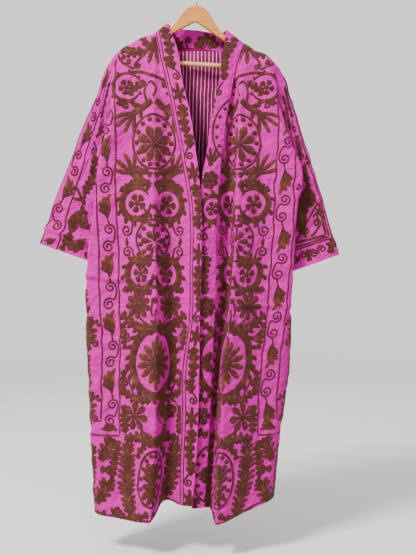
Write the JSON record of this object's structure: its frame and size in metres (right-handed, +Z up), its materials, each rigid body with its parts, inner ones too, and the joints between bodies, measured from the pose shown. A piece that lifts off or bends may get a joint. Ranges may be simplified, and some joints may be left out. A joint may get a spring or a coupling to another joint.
{
  "type": "suzani jacket on wooden hanger",
  "caption": "Long open-front coat of stiff cotton with wide straight sleeves and sewn-on front bands, hanging with soft vertical folds from a flat wooden hanger.",
  "frame": {"origin": "inside top of the hanger's hook, where it sits on a rail", "axes": "+X to the right of someone who faces the jacket's front, -Y towards them, +Z up"},
  "size_m": [0.78, 0.156, 1.3868],
  "materials": {
    "cloth": "matte slubby cotton",
    "lining": "matte striped cotton",
    "embroidery": "soft sheen chain stitch",
    "wood": "satin varnish",
    "steel": "bright zinc"
  },
  "bodies": {
    "root": {"back": "cloth", "front_left": "cloth", "front_right": "cloth", "band_left": "cloth", "band_right": "cloth", "collar_back": "cloth", "sleeve_left": "cloth", "sleeve_right": "cloth", "lining_back": "lining", "hanger_wood": "wood", "trouser_bar": "wood", "hanger_hook": "steel"}
  },
  "joints": []
}
